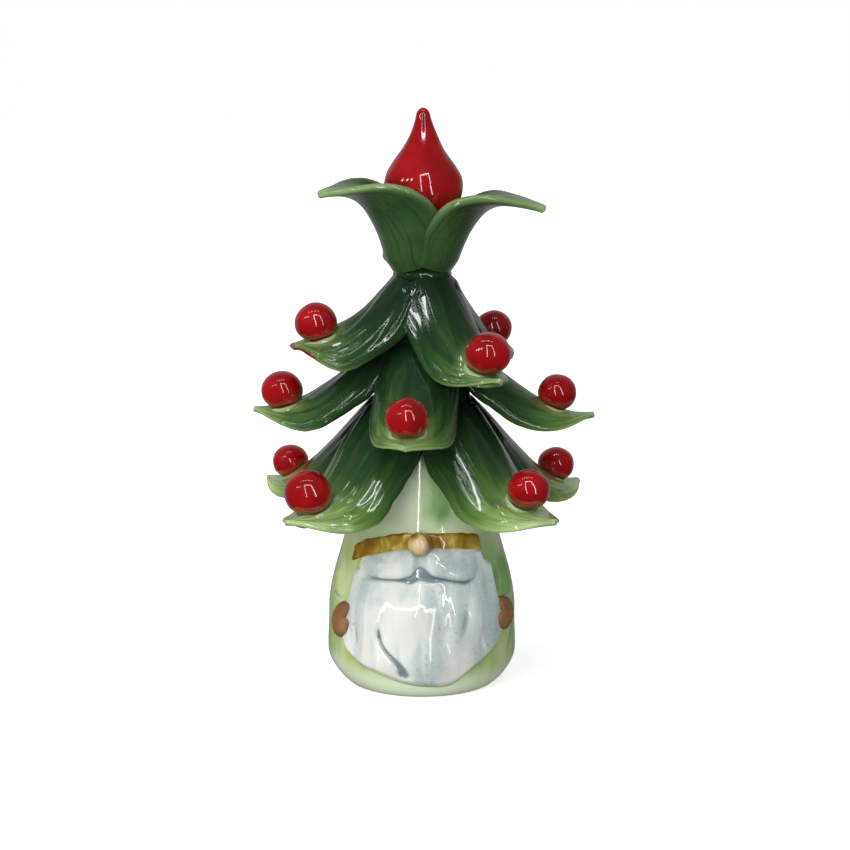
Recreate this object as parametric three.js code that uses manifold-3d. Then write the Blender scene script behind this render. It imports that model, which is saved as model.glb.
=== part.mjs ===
// A hand-built, glazed ceramic gnome ornament. A hollow bell is the gnome's coat, and its hat is a hollow
// cone that carries three tiers of clay leaves, each with a red ball, and a crown with a pointed bud.
// Millimetres, +Z up, the foot ring on Z = 0 and the face towards -Y. Azimuths are in degrees from the
// front, and positive towards +X.
import * as THREE from 'three';
import { mergeVertices } from 'three/addons/utils/BufferGeometryUtils.js';
import Module from 'manifold-3d';

const wasm = await Module();
wasm.setup();

// Shared sizes.
const GAP = 0.3;
const RELIEF_GAP = 0.7;
const WALL = 5;
const SEAM_HEIGHT = 72.5;
const NECK_HEIGHT = 183;
const CONE_TOP = 191.7;
const CONE_HOLLOW_TOP = 168;
const CONE_KNEE = 105;
const MOUTH_DEPTH = 1;
const INNER_STATIONS = [56, 40, 7];
const ROUND_SEGMENTS = 32;
const BUD_SEGMENTS = 20;
const BALL_SEGMENTS = 10;

// Outer radius of the bell and the cone, at a few heights.
const OUTLINE = [
  { height: 0, radius: 35.6 },
  { height: 2.5, radius: 38.3 },
  { height: 7, radius: 40.4 },
  { height: 14, radius: 41.4 },
  { height: 27, radius: 41 },
  { height: 36, radius: 40.8 },
  { height: 47, radius: 38.9 },
  { height: 56, radius: 36.4 },
  { height: 66, radius: 33.6 },
  { height: 78, radius: 31 },
  { height: CONE_KNEE, radius: 26.2 },
  { height: 122, radius: 22 },
  { height: 140, radius: 17.6 },
  { height: 158, radius: 13.4 },
  { height: 172, radius: 10.6 },
  { height: NECK_HEIGHT, radius: 9.8 },
  { height: CONE_TOP, radius: 8 },
];

// Leaves. A tier shares its root, its bend and its section, and each leaf has its own azimuth, tip and
// ball. Points are [distance from the axis, height], and ballAt is a share of the way to the tip.
// A leaf's thickness falls off towards its flanks and its tip by the shares given here.
const LEAF_THICKNESS = 4.4;
const LEAF_EDGE_THINNING = 0.35;
const LEAF_TIP_THINNING = 0.55;
const LEAF_ROOT_WIDTH = 0.82;
const LEAF_FULL_WIDTH_AT = 0.3;
const LEAF_TAPER_FROM = 0.52;
const LEAF_TIP_WIDTH = 0.04;
const LEAF_ACROSS = 6;
const LEAF_ALONG = 9;
const BALL_SINK = 2.6;
const BALL_RINGS = 7;
const COLLAR_FOOT = 1.02;
const COLLAR_TOP = 0.84;
const COLLAR_HEIGHT = 2.4;
const COLLAR_SUNK = 1.5;
const TIERS = {
  top: {
    root: [9.5, 178],
    rootSlope: -52,
    rootReach: 19,
    tipReach: 20,
    halfWidth: 21.5,
    bendRadius: 18,
    leaves: [
      { name: 'left', azimuth: -76, tip: [57.6, 149], tipSlope: -2, ball: 9, ballAt: 0.77, halfWidth: 24 },
      { name: 'right', azimuth: 36, tip: [56.6, 138.5], tipSlope: 4, ball: 9.5, ballAt: 0.76 },
      { name: 'back', azimuth: 139, tip: [60, 141], tipSlope: 4, ball: 8.2, ballAt: 0.76 },
    ],
  },
  middle: {
    root: [14, 149.5],
    rootSlope: -39,
    rootReach: 25,
    tipReach: 22,
    halfWidth: 22,
    bendRadius: 19,
    leaves: [
      { name: 'front', azimuth: -6, tip: [69.5, 114], tipSlope: -6, ball: 8.9, ballAt: 0.76 },
      { name: 'right', azimuth: 90, tip: [75.3, 117.3], tipSlope: 8, ball: 8.2, ballAt: 0.7 },
      { name: 'back', azimuth: 180, tip: [69.5, 116], tipSlope: 8, ball: 8.6, ballAt: 0.75 },
      { name: 'left', azimuth: -90, tip: [73.6, 119.7], tipSlope: 11, ball: 9, ballAt: 0.77 },
    ],
  },
  bottom: {
    root: [20, 124],
    rootSlope: -42,
    rootReach: 28,
    tipReach: 24,
    halfWidth: 27,
    bendRadius: 24.5,
    leaves: [
      { name: 'front_left', azimuth: -45, tip: [80, 81], tipSlope: 7, ball: 9.8, ballAt: 0.75 },
      { name: 'front_right', azimuth: 45, tip: [79, 81], tipSlope: 7, ball: 8.8, ballAt: 0.69 },
      { name: 'back_right', azimuth: 119, tip: [82, 80], tipSlope: 7, ball: 8, ballAt: 0.77 },
      { name: 'back', azimuth: 180, tip: [70.5, 84], tipSlope: 7, ball: 8.4, ballAt: 0.75 },
      { name: 'back_left', azimuth: -121, tip: [82.5, 81], tipSlope: 7, ball: 7.9, ballAt: 0.77 },
    ],
  },
};

// Crown petals wrap the bud, so they bend towards the axis, tightly at the root and less further out.
// The broad left petal crosses the front, and its edge goes under that of the right one.
const PETAL_TIER = {
  root: [11.5, 180],
  rootSlope: 66,
  rootReach: 17,
  bendRadius: -12,
  bendOpening: 3,
  rootWidth: 0.78,
  petals: [
    { name: 'right', azimuth: 74, tip: [54.5, 207.5], tipSlope: -19, tipReach: 36, halfWidth: 20 },
    { name: 'left', azimuth: -68, tip: [47.3, 214], tipSlope: -10, tipReach: 30, halfWidth: 27 },
    { name: 'back', azimuth: 180, tip: [47, 211], tipSlope: -12, tipReach: 25, halfWidth: 20 },
  ],
};

// Bud profile, from its foot to its tip.
const BUD_PROFILE = [
  [0, 192],
  [6, 193.5],
  [11, 198],
  [14.5, 205],
  [16.5, 213],
  [16.6, 218],
  [15.5, 222.5],
  [12.5, 227.5],
  [8.3, 234.5],
  [5, 241],
  [2.9, 246.5],
  [1.7, 249],
  [0, 250],
];

// Band and nose, on the hat's brim line.
const BAND_LEFT = -59;
const BAND_RIGHT = 48.5;
const BAND_MIDDLE = -2;
const BAND_HEIGHT = 67.4;
const BAND_DROP_LEFT = 8;
const BAND_DROP_RIGHT = 2.3;
const BAND_WIDTH = 8.3;
const BAND_THICKNESS = 2;
const NOSE_RADIUS = 5.2;
const NOSE_OUT = 36.2;

// Relief on the coat: a pad is placed by its centre, half-width, half-height and thickness.
// A pad's thickness falls off towards its edges by PAD_FALL, and PAD_RIM is what is left there.
const PAD_FALL = 0.6;
const PAD_RIM = 0.3;
const BEARD = { azimuth: 3, halfTurn: 56, height: 29, halfHeight: 25, topRoundness: 0.25, thickness: 2.4 };
const MOUSTACHE = { halfTurn: 24, height: 57.5, halfHeight: 6, thickness: 3.2, droop: 4, offset: 23.5 };
const MITTEN = { halfTurn: 9.6, halfHeight: 7.6, thickness: 3.4 };
const THUMB = { halfTurn: 4.2, halfHeight: 3.6, thickness: 3.2, turn: 8.5, lift: 5.5 };
const MITTENS = [
  { side: 'left', azimuth: -58, height: 31.5, towardsBeard: 1 },
  { side: 'right', azimuth: 63, height: 33, towardsBeard: -1 },
];
const SLEEVE_SHOULDER = { turn: 22, height: 62 };
const SLEEVE_CUFF = { turn: 3, height: 41.5 };
const SLEEVE_HALF_TURN = 10;
const SLEEVE_THICKNESS = 1.1;
const SLEEVE_EDGE_FALL = 0.7;
const SLEEVE_SHOULDER_FALL = 0.8;

// How finely each relief is divided, across and up.
const BEARD_CELLS = [12, 8];
const MOUSTACHE_CELLS = [8, 4];
const BAND_CELLS = [18, 3];
const PALM_CELLS = [6, 6];
const THUMB_CELLS = [4, 4];
const SLEEVE_CELLS = [6, 5];

const radians = THREE.MathUtils.degToRad;
const smoothstep = THREE.MathUtils.smoothstep;

// Materials.
function glaze(color, roughness) {
  return new THREE.MeshStandardMaterial({ color, roughness, metalness: 0 });
}

const coatGlaze = () => glaze(0xbfd39a, 0.18);
const hatGlaze = () => glaze(0x2f5a2b, 0.18);
const leafGlaze = () => glaze(0x3d7033, 0.16);
const collarGlaze = () => glaze(0xa9c58c, 0.2);
const berryGlaze = () => glaze(0xb31420, 0.12);
const bandGlaze = () => glaze(0xb0802a, 0.22);
const beardGlaze = () => glaze(0xdfe4e2, 0.2);
const mittenGlaze = () => glaze(0x86603f, 0.4);

// Booleans.
function solidFrom(geometry) {
  const bare = geometry.clone();
  bare.deleteAttribute('normal');
  bare.deleteAttribute('uv');
  const merged = mergeVertices(bare, 1e-3);
  const data = {
    numProp: 3,
    vertProperties: new Float32Array(merged.attributes.position.array),
    triVerts: new Uint32Array(merged.index.array),
  };
  return new wasm.Manifold(new wasm.Mesh(data));
}

function geometryFrom(solid) {
  const data = solid.getMesh();
  const geometry = new THREE.BufferGeometry();
  geometry.setAttribute('position', new THREE.BufferAttribute(new Float32Array(data.vertProperties), 3));
  geometry.setIndex(new THREE.BufferAttribute(new Uint32Array(data.triVerts), 1));
  return geometry;
}

// What is left of a piece after its neighbours are cut away: its one large part, without slivers.
function cutBy(solid, neighbours) {
  let rest = solid;
  for (const neighbour of neighbours) {
    rest = rest.subtract(neighbour);
  }
  const parts = rest.decompose();
  return parts.reduce((best, part) => (part.volume() > best.volume() ? part : best));
}

function addPiece(group, name, solid, material) {
  const geometry = geometryFrom(solid);
  geometry.computeVertexNormals();
  const mesh = new THREE.Mesh(geometry, material);
  mesh.name = name;
  group.add(mesh);
}

// A profile of radii and heights, turned about the Z axis.
function turned(profile, segments) {
  return solidFrom(new THREE.LatheGeometry(profile, segments).rotateX(Math.PI / 2));
}

// Bell and cone.
function outerRadius(height) {
  const last = OUTLINE.length - 1;
  let i = 0;
  while (i < last - 1 && height > OUTLINE[i + 1].height) {
    i += 1;
  }
  const low = OUTLINE[i];
  const high = OUTLINE[i + 1];
  const share = (height - low.height) / (high.height - low.height);
  return THREE.MathUtils.lerp(low.radius, high.radius, share);
}

function outlineBetween(bottom, top) {
  const inside = OUTLINE.filter((station) => station.height > bottom && station.height < top);
  const heights = [bottom, ...inside.map((station) => station.height), top];
  return heights.map((height) => new THREE.Vector2(outerRadius(height), height));
}

function bodyShell() {
  const top = SEAM_HEIGHT - GAP;
  const outer = outlineBetween(0, top);
  const heights = [top, ...INNER_STATIONS, 0];
  const inner = heights.map((height) => new THREE.Vector2(outerRadius(height) - WALL, height));
  return turned([...outer, ...inner, outer[0].clone()], ROUND_SEGMENTS);
}

// The cone is open below, into the bell, and closed above, under the crown.
function hatCone() {
  const outer = outlineBetween(SEAM_HEIGHT, CONE_TOP);
  const filled = [new THREE.Vector2(0, SEAM_HEIGHT), ...outer, new THREE.Vector2(0, CONE_TOP)];
  const mouth = SEAM_HEIGHT - MOUTH_DEPTH;
  const hollow = [
    new THREE.Vector2(0, mouth),
    new THREE.Vector2(outerRadius(mouth) - WALL, mouth),
    new THREE.Vector2(outerRadius(CONE_KNEE) - WALL, CONE_KNEE),
    new THREE.Vector2(outerRadius(CONE_HOLLOW_TOP) - WALL, CONE_HOLLOW_TOP),
    new THREE.Vector2(0, CONE_HOLLOW_TOP),
  ];
  return turned(filled, ROUND_SEGMENTS).subtract(turned(hollow, ROUND_SEGMENTS));
}

// The space that the bell and the cone fill, grown by the joint gap, which cuts whatever is luted on.
function coreCutter() {
  const outer = OUTLINE.map((station) => new THREE.Vector2(station.radius + GAP, station.height));
  outer[outer.length - 1].y += GAP;
  const profile = [new THREE.Vector2(0, 0), ...outer, new THREE.Vector2(0, CONE_TOP + GAP)];
  return turned(profile, ROUND_SEGMENTS);
}

// Leaves and petals. The midline is a Bezier curve in the upright plane of the leaf's azimuth.
function midlineOf(tier, leaf) {
  const along = radians(tier.rootSlope);
  const back = radians(leaf.tipSlope);
  const tipReach = leaf.tipReach ?? tier.tipReach;
  const root = new THREE.Vector2(...tier.root);
  const tip = new THREE.Vector2(...leaf.tip);
  const start = new THREE.Vector2(Math.cos(along), Math.sin(along)).multiplyScalar(tier.rootReach).add(root);
  const end = new THREE.Vector2(Math.cos(back), Math.sin(back)).multiplyScalar(-tipReach).add(tip);
  return new THREE.CubicBezierCurve(root, start, end, tip);
}

// Half of the strap's width, measured round its bend: nearly parallel, then a pointed arch to the tip.
function halfWidthAt(shape, along) {
  const root = THREE.MathUtils.lerp(shape.rootWidth, 1, smoothstep(along, 0, LEAF_FULL_WIDTH_AT));
  const past = Math.max(0, (along - LEAF_TAPER_FROM) / (1 - LEAF_TAPER_FROM));
  const arch = Math.max(LEAF_TIP_WIDTH, 1 - past ** 2);
  return shape.halfWidth * root * arch;
}

function thicknessAt(across, along) {
  const edge = 1 - LEAF_EDGE_THINNING * across * across;
  const tip = 1 - LEAF_TIP_THINNING * smoothstep(along, LEAF_TAPER_FROM, 1);
  return LEAF_THICKNESS * edge * tip;
}

// A point of the leaf: across from -1 to 1, along from 0 at the root to 1, and a height over the
// middle of its thickness. A positive bend radius turns the flanks down, a negative one up.
function leafPoint(shape, across, along, height) {
  const centre = shape.midline.getPoint(along);
  const tangent = shape.midline.getTangent(along);
  const bend = shape.bendRadius * (1 + shape.bendOpening * along * along);
  const turn = (across * halfWidthAt(shape, along)) / bend;
  const reach = bend + height;
  const sideways = reach * Math.sin(turn);
  const lift = reach * Math.cos(turn) - bend;
  const out = centre.x - tangent.y * lift;
  const up = centre.y + tangent.x * lift;
  const angle = radians(shape.azimuth);
  const x = out * Math.sin(angle) + sideways * Math.cos(angle);
  const y = -out * Math.cos(angle) + sideways * Math.sin(angle);
  return new THREE.Vector3(x, y, up);
}

function leafSolid(shape, grow) {
  const geometry = new THREE.BoxGeometry(2, 1, 1, LEAF_ACROSS, LEAF_ALONG, 1);
  const position = geometry.attributes.position;
  const wider = { ...shape, halfWidth: shape.halfWidth + grow };
  for (let i = 0; i < position.count; i += 1) {
    const across = -position.getX(i);
    const along = position.getY(i) + 0.5;
    const height = position.getZ(i) * (thicknessAt(across, along) + 2 * grow);
    const point = leafPoint(wider, across, along, height);
    position.setXYZ(i, point.x, point.y, point.z);
  }
  return solidFrom(geometry);
}

function leafShape(tier, leaf) {
  return {
    azimuth: leaf.azimuth,
    midline: midlineOf(tier, leaf),
    halfWidth: leaf.halfWidth ?? tier.halfWidth,
    bendRadius: tier.bendRadius,
    bendOpening: tier.bendOpening ?? 0,
    rootWidth: tier.rootWidth ?? LEAF_ROOT_WIDTH,
  };
}

// Balls and the collars of slip that they sit in. Each ball is pressed a little into its leaf.
function onLeaf(geometry, shape, place, height) {
  const top = thicknessAt(0, place) / 2;
  const seat = leafPoint(shape, 0, place, top);
  const normal = leafPoint(shape, 0, place, top + 1).sub(seat);
  geometry.rotateX(Math.PI / 2);
  geometry.applyQuaternion(new THREE.Quaternion().setFromUnitVectors(new THREE.Vector3(0, 0, 1), normal));
  geometry.translate(...seat.addScaledVector(normal, height).toArray());
  return solidFrom(geometry);
}

function ballSolid(shape, leaf, grow) {
  const sphere = new THREE.SphereGeometry(leaf.ball + grow, BALL_SEGMENTS, BALL_RINGS);
  return onLeaf(sphere, shape, leaf.ballAt, leaf.ball - BALL_SINK);
}

function seatSolid(shape, leaf) {
  const height = COLLAR_HEIGHT + COLLAR_SUNK;
  const top = COLLAR_TOP * leaf.ball;
  const foot = COLLAR_FOOT * leaf.ball;
  const collar = new THREE.CylinderGeometry(top, foot, height, BALL_SEGMENTS);
  return onLeaf(collar, shape, leaf.ballAt, (COLLAR_HEIGHT - COLLAR_SUNK) / 2);
}

function budSolid(grow) {
  const points = BUD_PROFILE.map(([radius, height]) => {
    const grown = radius > 0 ? radius + grow : 0;
    return new THREE.Vector2(grown, height);
  });
  points[0].y -= grow;
  points[points.length - 1].y += grow;
  return turned(points, BUD_SEGMENTS);
}

// Relief. A flat pad from a square grid is rounded into a disc and wrapped on the bell, clear of it by
// the joint gap. The place function gives a point's azimuth and height, and rise its thickness there.
function wrapped(place, rise, [across, up], grow) {
  const geometry = new THREE.BoxGeometry(2, 2, 1, across, up, 1);
  const position = geometry.attributes.position;
  for (let i = 0; i < position.count; i += 1) {
    const spot = place(position.getX(i), position.getY(i));
    const outside = position.getZ(i) > 0;
    const thickness = outside ? rise(position.getX(i), position.getY(i)) + grow : -grow;
    const radius = outerRadius(spot.height) + RELIEF_GAP + thickness;
    const angle = radians(spot.azimuth);
    position.setXYZ(i, radius * Math.sin(angle), -radius * Math.cos(angle), spot.height);
  }
  return solidFrom(geometry);
}

function roundedPlace(pad, grow) {
  const turnGrow = THREE.MathUtils.radToDeg(grow / outerRadius(pad.height));
  return (x, y) => {
    const roundness = (y > 0 && pad.topRoundness) || 1;
    return {
      azimuth: pad.azimuth + (pad.halfTurn + turnGrow) * x * Math.sqrt(1 - (roundness * y * y) / 2),
      height: pad.height + (pad.halfHeight + grow) * y * Math.sqrt(1 - (roundness * x * x) / 2),
    };
  };
}

function pillow(thickness) {
  return (x, y) => thickness * (1 - PAD_FALL * x * x) * (1 - PAD_FALL * y * y) + PAD_RIM;
}

function beardSolid(grow) {
  return wrapped(roundedPlace(BEARD, grow), pillow(BEARD.thickness), BEARD_CELLS, grow);
}

function moustacheSolid(side, grow) {
  const pad = { ...MOUSTACHE, azimuth: BAND_MIDDLE + side * MOUSTACHE.offset };
  const round = roundedPlace(pad, grow);
  const place = (x, y) => {
    const spot = round(x, y);
    const outwards = (side * (spot.azimuth - BAND_MIDDLE)) / (2 * MOUSTACHE.offset);
    return { azimuth: spot.azimuth, height: spot.height + MOUSTACHE.droop * (0.5 - outwards) };
  };
  return wrapped(place, pillow(MOUSTACHE.thickness), MOUSTACHE_CELLS, grow);
}

function bandSolid(grow) {
  const place = (x, y) => {
    const azimuth = THREE.MathUtils.lerp(BAND_LEFT, BAND_RIGHT, (x + 1) / 2);
    const left = Math.max(0, (BAND_MIDDLE - azimuth) / (BAND_MIDDLE - BAND_LEFT));
    const right = Math.max(0, (azimuth - BAND_MIDDLE) / (BAND_RIGHT - BAND_MIDDLE));
    const drop = BAND_DROP_LEFT * left * left + BAND_DROP_RIGHT * right * right;
    return { azimuth, height: BAND_HEIGHT - drop + y * (BAND_WIDTH / 2 + grow) };
  };
  return wrapped(place, () => BAND_THICKNESS, BAND_CELLS, grow);
}

function noseSolid(grow) {
  const sphere = new THREE.SphereGeometry(NOSE_RADIUS + grow, BALL_SEGMENTS, BALL_RINGS);
  const angle = radians(BAND_MIDDLE);
  sphere.rotateX(Math.PI / 2);
  sphere.translate(NOSE_OUT * Math.sin(angle), -NOSE_OUT * Math.cos(angle), BAND_HEIGHT);
  return solidFrom(sphere);
}

function mittenSolid(mitten, grow) {
  const palm = { ...MITTEN, azimuth: mitten.azimuth, height: mitten.height };
  const thumb = {
    ...THUMB,
    azimuth: mitten.azimuth + mitten.towardsBeard * THUMB.turn,
    height: mitten.height + THUMB.lift,
  };
  const palmPad = wrapped(roundedPlace(palm, grow), pillow(palm.thickness), PALM_CELLS, grow);
  const thumbPad = wrapped(roundedPlace(thumb, grow), pillow(thumb.thickness), THUMB_CELLS, grow);
  return palmPad.add(thumbPad);
}

function sleeveSolid(mitten) {
  const outwards = -mitten.towardsBeard;
  const place = (x, y) => {
    const share = (y + 1) / 2;
    const turn = THREE.MathUtils.lerp(SLEEVE_CUFF.turn, SLEEVE_SHOULDER.turn, share);
    const azimuth = mitten.azimuth + outwards * turn + SLEEVE_HALF_TURN * x;
    return { azimuth, height: THREE.MathUtils.lerp(SLEEVE_CUFF.height, SLEEVE_SHOULDER.height, share) };
  };
  const rise = (x, y) => {
    const upwards = (y + 1) / 2;
    const dome = (1 - SLEEVE_EDGE_FALL * x * x) * (1 - SLEEVE_SHOULDER_FALL * upwards);
    return PAD_RIM + SLEEVE_THICKNESS * dome;
  };
  return wrapped(place, rise, SLEEVE_CELLS, 0);
}

// Assembly. Each later piece is cut clear of the pieces that are already in place.
function buildCrown(group, core) {
  const placed = [budSolid(GAP)];
  addPiece(group, 'bud', budSolid(0), berryGlaze());
  for (const petal of PETAL_TIER.petals) {
    const shape = leafShape(PETAL_TIER, petal);
    addPiece(group, `crown_leaf_${petal.name}`, cutBy(leafSolid(shape, 0), [core, ...placed]), leafGlaze());
    placed.push(leafSolid(shape, GAP));
  }
  return placed;
}

function buildLeaves(group, core, crown) {
  const placed = [core, ...crown];
  for (const [tierName, tier] of Object.entries(TIERS)) {
    for (const leaf of tier.leaves) {
      const shape = leafShape(tier, leaf);
      const name = `${tierName}_${leaf.name}`;
      const ballRoom = ballSolid(shape, leaf, GAP);
      const clay = cutBy(leafSolid(shape, 0), [...placed, ballRoom]);
      const seat = cutBy(seatSolid(shape, leaf), [ballRoom, leafSolid(shape, GAP)]);
      addPiece(group, `leaf_${name}`, clay, leafGlaze());
      addPiece(group, `seat_${name}`, seat, collarGlaze());
      addPiece(group, `ball_${name}`, ballSolid(shape, leaf, 0), berryGlaze());
      placed.push(leafSolid(shape, GAP));
    }
  }
}

function buildFace(group, core) {
  const moustacheRoom = [-1, 1].map((side) => moustacheSolid(side, GAP));
  const mittenRoom = MITTENS.map((mitten) => mittenSolid(mitten, GAP));
  const brim = [bandSolid(GAP), noseSolid(GAP)];
  addPiece(group, 'hat_band', bandSolid(0), bandGlaze());
  addPiece(group, 'nose', cutBy(noseSolid(0), [core, brim[0]]), bandGlaze());
  const leftNeighbours = [...brim, moustacheRoom[0]];
  addPiece(group, 'moustache_left', cutBy(moustacheSolid(-1, 0), brim), beardGlaze());
  addPiece(group, 'moustache_right', cutBy(moustacheSolid(1, 0), leftNeighbours), beardGlaze());
  addPiece(group, 'beard', cutBy(beardSolid(0), [...moustacheRoom, ...mittenRoom]), beardGlaze());
  const beardRoom = beardSolid(GAP);
  MITTENS.forEach((mitten, i) => {
    const sleeve = cutBy(sleeveSolid(mitten), [mittenRoom[i], beardRoom]);
    addPiece(group, `mitten_${mitten.side}`, mittenSolid(mitten, 0), mittenGlaze());
    addPiece(group, `sleeve_${mitten.side}`, sleeve, coatGlaze());
  });
}

function buildGnome() {
  const group = new THREE.Group();
  const core = coreCutter();
  addPiece(group, 'body_shell', bodyShell(), coatGlaze());
  addPiece(group, 'hat_cone', hatCone(), hatGlaze());
  const crown = buildCrown(group, core);
  buildLeaves(group, core, crown);
  buildFace(group, core);
  return group;
}

export default buildGnome();
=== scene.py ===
import math

import bmesh
import bpy
from mathutils import Matrix, Vector, noise


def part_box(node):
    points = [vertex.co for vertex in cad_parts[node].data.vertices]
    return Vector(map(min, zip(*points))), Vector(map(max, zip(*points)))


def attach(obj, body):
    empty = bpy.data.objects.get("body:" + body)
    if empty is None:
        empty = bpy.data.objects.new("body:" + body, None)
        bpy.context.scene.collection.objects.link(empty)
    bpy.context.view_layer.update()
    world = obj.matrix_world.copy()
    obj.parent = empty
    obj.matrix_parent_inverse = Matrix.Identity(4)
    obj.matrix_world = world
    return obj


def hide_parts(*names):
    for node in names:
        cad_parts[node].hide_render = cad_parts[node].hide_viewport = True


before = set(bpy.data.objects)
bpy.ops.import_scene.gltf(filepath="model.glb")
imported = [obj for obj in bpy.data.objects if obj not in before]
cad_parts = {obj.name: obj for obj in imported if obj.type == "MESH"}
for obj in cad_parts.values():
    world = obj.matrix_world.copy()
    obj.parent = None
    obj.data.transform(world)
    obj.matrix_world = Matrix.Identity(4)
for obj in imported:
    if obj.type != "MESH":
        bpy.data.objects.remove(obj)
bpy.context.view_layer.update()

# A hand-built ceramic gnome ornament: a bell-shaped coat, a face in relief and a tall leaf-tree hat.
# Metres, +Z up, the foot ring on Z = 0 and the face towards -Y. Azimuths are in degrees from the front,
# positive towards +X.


# --- Table, camera and lights -----------------------------------------------------------------------
# The ornament stands on a plain white table, lit softly from above and in front. Bright bars that only
# the glaze mirrors give it its narrow bracket-shaped reflections, and a second set shows in the beard.

MM = 0.001
CAMERA_PLACE = (1.3 * MM, -1.0, 0.285)
CAMERA_DOWN = 9.79
CAMERA_LENS = 98.43

camera_data = bpy.data.cameras.new("camera")
camera_data.lens = CAMERA_LENS
camera_data.sensor_width = 36.0
camera_data.clip_start = 0.01
camera = bpy.data.objects.new("camera", camera_data)
camera.location = CAMERA_PLACE
camera.rotation_euler = (math.radians(90 - CAMERA_DOWN), 0, 0)
bpy.context.scene.collection.objects.link(camera)
bpy.context.scene.camera = camera
bpy.context.scene.view_settings.view_transform = "Standard"


def linear(code):
    """The linear colour of a six-digit sRGB code."""
    parts = [int(code[i : i + 2], 16) / 255 for i in (0, 2, 4)]
    return tuple(p / 12.92 if p <= 0.04045 else ((p + 0.055) / 1.055) ** 2.4 for p in parts) + (1.0,)


class Value:
    """An output of a shader node. Sums and products of values become Math nodes."""

    def __init__(self, recipe, socket):
        self.recipe = recipe
        self.socket = socket

    def math(self, operation, left, right):
        return self.recipe.node("ShaderNodeMath", {"operation": operation}, {0: left, 1: right})

    def __add__(self, other):
        return self.math("ADD", self, other)

    __radd__ = __add__

    def __mul__(self, other):
        return self.math("MULTIPLY", self, other)

    __rmul__ = __mul__

    def __sub__(self, other):
        return self.math("SUBTRACT", self, other)

    def __rsub__(self, other):
        return self.math("SUBTRACT", other, self)


class Recipe:
    """A finish, built up from nodes in front of one Principled shader."""

    def __init__(self, name, tree=None, **constants):
        self.material = None
        if tree is None:
            self.material = bpy.data.materials.new(name)
            self.material.use_nodes = True
            tree = self.material.node_tree
            self.shader = tree.nodes["Principled BSDF"]
            for socket, value in constants.items():
                self.shader.inputs[socket.replace("_", " ")].default_value = value
        self.tree = tree

    def node(self, kind, settings=None, sockets=None, output=0):
        made = self.tree.nodes.new(kind)
        for key, value in (settings or {}).items():
            if key == "stops":
                ramp = made.color_ramp
                while len(ramp.elements) < len(value):
                    ramp.elements.new(1.0)
                for element, (place, color) in zip(ramp.elements, value):
                    element.position = place
                    element.color = color
            else:
                setattr(made, key, value)
        for key, value in (sockets or {}).items():
            self.feed(made.inputs[key], value)
        return Value(self, made.outputs[output])

    def feed(self, socket, value):
        if isinstance(value, Value):
            self.tree.links.new(value.socket, socket)
        else:
            socket.default_value = value

    def mix(self, factor, first, second, blend="MIX"):
        settings = {"data_type": "RGBA", "blend_type": blend}
        return self.node("ShaderNodeMix", settings, {0: factor, 6: first, 7: second}, output=2)

    def step(self, value, start, end):
        """0 below start, 1 above end, and smooth between them."""
        settings = {"interpolation_type": "SMOOTHSTEP"}
        return self.node("ShaderNodeMapRange", settings, {0: value, 1: start, 2: end, 3: 0.0, 4: 1.0})

    def grain(self, scale, detail=3.0, stretch=(1, 1, 1), coordinates=None, distortion=0.0):
        """Noise between 0 and 1 on object coordinates, or on the ones given."""
        if coordinates is None:
            coordinates = self.node("ShaderNodeTexCoord", output=3)
        mapped = self.node("ShaderNodeMapping", None, {0: coordinates, 3: stretch})
        sockets = {"Vector": mapped, "Scale": scale, "Detail": detail, "Distortion": distortion}
        return self.node("ShaderNodeTexNoise", None, sockets)

    def measure(self, name):
        """A number kept on the piece's vertices."""
        return self.node("ShaderNodeAttribute", {"attribute_name": name}, output=2)

    def height(self):
        """The height above the table, in metres."""
        place = self.node("ShaderNodeTexCoord", output=3)
        return self.node("ShaderNodeSeparateXYZ", None, {0: place}, output=2)

    def ramp(self, factor, *stops):
        return self.node("ShaderNodeValToRGB", {"stops": [(p, linear(c)) for p, c in stops]}, {0: factor})

    def finish(self, color, roughness=None, bump=None, strength=0.2, depth=0.0002):
        self.feed(self.shader.inputs["Base Color"], color)
        if roughness is not None:
            self.feed(self.shader.inputs["Roughness"], roughness)
        if bump is not None:
            sockets = {"Strength": strength, "Distance": depth, "Height": bump}
            self.feed(self.shader.inputs["Normal"], self.node("ShaderNodeBump", None, sockets))
        return self.material


# The surroundings are white to look at. Upwards they give a full soft light, downwards less of it. The
# glaze mirrors them faintly from the front and from above, and more strongly from behind.
world = bpy.data.worlds.new("studio")
world.use_nodes = True
bpy.context.scene.world = world
SKY_LIGHT, GROUND_LIGHT = 0.76, 0.5
SKY_MIRRORED, GROUND_MIRRORED, BACK_MIRRORED = 0.07, 0.03, 0.22
sky = Recipe("studio", world.node_tree)
direction = sky.node("ShaderNodeTexCoord", output=0)
upward = sky.step(sky.node("ShaderNodeSeparateXYZ", None, {0: direction}, output=2), -0.3, 0.5)
backward = sky.step(sky.node("ShaderNodeSeparateXYZ", None, {0: direction}, output=1), 0.3, 0.95)
seen = sky.node("ShaderNodeLightPath", output="Is Camera Ray")
mirrored = sky.node("ShaderNodeLightPath", output="Is Glossy Ray")
soft_light = GROUND_LIGHT + upward * (SKY_LIGHT - GROUND_LIGHT)
reflection = GROUND_MIRRORED + upward * (SKY_MIRRORED - GROUND_MIRRORED) + backward * BACK_MIRRORED
strength = soft_light + mirrored * (reflection - soft_light) + seen * (1 - soft_light)
background = world.node_tree.nodes["Background"]
background.inputs["Color"].default_value = (1, 1, 1, 1)
sky.feed(background.inputs["Strength"], strength)

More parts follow.
